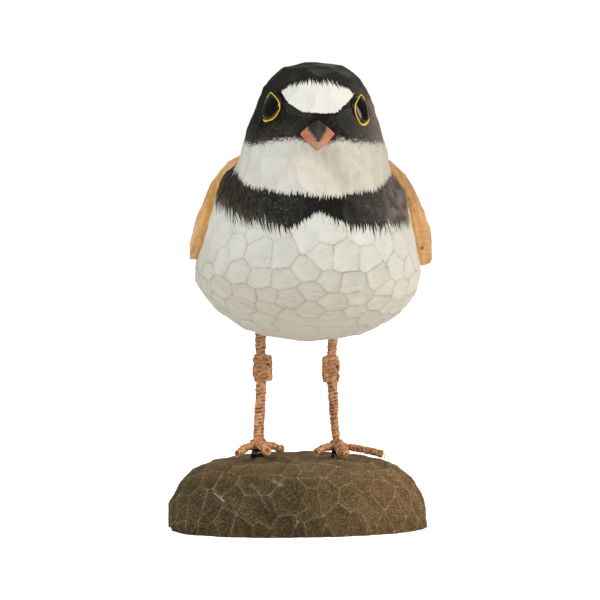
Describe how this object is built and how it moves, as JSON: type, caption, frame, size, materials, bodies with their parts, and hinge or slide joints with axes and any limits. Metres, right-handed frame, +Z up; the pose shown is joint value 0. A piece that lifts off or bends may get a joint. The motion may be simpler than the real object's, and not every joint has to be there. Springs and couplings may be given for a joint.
{
  "type": "carved shorebird figure",
  "caption": "Hand-carved, painted wooden shorebird with folded wings, standing on twine-wound wire legs on a carved wooden stone.",
  "frame": {"origin": "centre of the stone base's flat underside", "axes": "+Z up; the bird faces -Y and its tail points to +Y; +X is the right-hand side for a viewer in front of it"},
  "size_m": [0.0844, 0.1603, 0.1498],
  "materials": {
    "painted_wood": "carved facets under worn matt paint",
    "stained_wood": "carved facets, brown stain with paler ridges",
    "eye_glass": "glossy near-black glass bead",
    "wound_wire": "wire wound with twine under tan paint"
  },
  "bodies": {
    "root": {"carved_bird": "painted_wood", "carved_stone_base": "stained_wood", "glass_eye_left": "eye_glass", "glass_eye_right": "eye_glass", "wire_leg_left": "wound_wire", "wire_leg_right": "wound_wire", "knee_binding_left": "wound_wire", "knee_binding_right": "wound_wire", "toe_left_outer": "wound_wire", "toe_left_middle": "wound_wire", "toe_left_inner": "wound_wire", "toe_right_inner": "wound_wire", "toe_right_middle": "wound_wire", "toe_right_outer": "wound_wire"}
  },
  "joints": []
}
